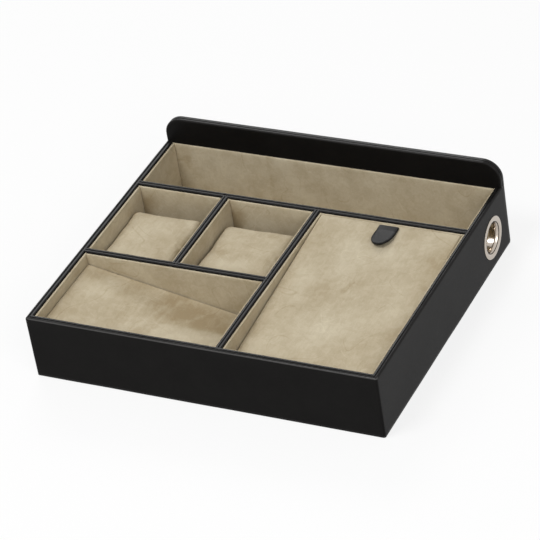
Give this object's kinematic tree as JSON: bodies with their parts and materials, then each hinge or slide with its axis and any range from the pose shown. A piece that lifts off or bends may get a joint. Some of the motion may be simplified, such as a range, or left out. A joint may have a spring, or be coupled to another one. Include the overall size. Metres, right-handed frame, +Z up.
{
  "type": "desk valet box",
  "caption": "Low open valet box with a tall rounded back, a sloping tray, two cushioned watch bays, a long rear bay, a hinged sloping lid with a pull tab and a cable grommet.",
  "frame": {"origin": "centre of the case's footprint, on the surface that it stands on", "axes": "+X to the right along the long side, +Y to the tall back, +Z up"},
  "size_m": [0.3066, 0.2636, 0.0807],
  "materials": {
    "black_leather": "smooth fine grain, satin",
    "tan_suede": "brushed pigskin suede, mottled",
    "fibreboard": "raw medium-density fibreboard",
    "grey_card": "raw grey card",
    "black_felt": "pressed felt",
    "bright_nickel": "polished nickel plate",
    "steel_washer": "plain steel"
  },
  "bodies": {
    "case": {"base_board": "fibreboard", "front_board": "fibreboard", "left_board": "fibreboard", "right_board": "fibreboard", "back_board": "fibreboard", "rear_divider_board": "fibreboard", "lid_divider_board": "fibreboard", "tray_divider_board": "fibreboard", "watch_divider_board": "fibreboard", "outer_wrap": "black_leather", "back_facing": "black_leather", "back_wrap": "black_leather", "rear_divider_wrap": "black_leather", "lid_divider_wrap": "black_leather", "tray_divider_wrap": "black_leather", "watch_divider_wrap": "black_leather", "tray_liner_left": "tan_suede", "tray_liner_right": "tan_suede", "tray_liner_front": "tan_suede", "tray_liner_rear": "tan_suede", "lid_bay_liner_left": "tan_suede", "lid_bay_liner_right": "tan_suede", "lid_bay_liner_front": "tan_suede", "lid_bay_liner_rear": "tan_suede", "rear_bay_liner_left": "tan_suede", "rear_bay_liner_right": "tan_suede", "rear_bay_liner_front": "tan_suede", "rear_bay_liner_rear": "tan_suede", "watch_left_liner_left": "tan_suede", "watch_left_liner_right": "tan_suede", "watch_left_liner_front": "tan_suede", "watch_left_liner_rear": "tan_suede", "watch_right_liner_left": "tan_suede", "watch_right_liner_right": "tan_suede", "watch_right_liner_front": "tan_suede", "watch_right_liner_rear": "tan_suede", "tray_floor": "tan_suede", "lid_bay_floor": "tan_suede", "rear_bay_floor": "tan_suede", "watch_left_floor": "tan_suede", "watch_right_floor": "tan_suede", "tray_ramp": "tan_suede", "lid_hinge_strip": "tan_suede", "tray_ramp_ribs": "grey_card", "lid_ledge_front": "grey_card", "lid_ledge_rear": "grey_card", "base_felt": "black_felt", "grommet": "bright_nickel", "grommet_ring": "steel_washer"},
    "lid": {"lid_board": "fibreboard", "lid_cover": "tan_suede", "lid_lining": "tan_suede", "pull_tab_root": "black_leather"},
    "pull_tab": {"pull_tab": "black_leather"},
    "watch_cushion_left": {"watch_cushion_left": "tan_suede"},
    "watch_cushion_right": {"watch_cushion_right": "tan_suede"}
  },
  "joints": [
    {"name": "lid_hinge", "type": "hinge", "parent": "case", "child": "lid", "pos_m": [0.0833, -0.1237, 0.0418], "axis": [1, 0, 0], "range_deg": [0, 85]},
    {"name": "tab_lift", "type": "hinge", "parent": "lid", "child": "pull_tab", "pos_m": [0.0833, 0.04749, 0.0587], "axis": [-1, 0, 0], "range_deg": [0, 90]},
    {"name": "cushion_left_lift", "type": "slide", "parent": "case", "child": "watch_cushion_left", "axis": [0, 0, 1], "range_m": [0, 0.06]},
    {"name": "cushion_right_lift", "type": "slide", "parent": "case", "child": "watch_cushion_right", "axis": [0, 0, 1], "range_m": [0, 0.06]}
  ]
}
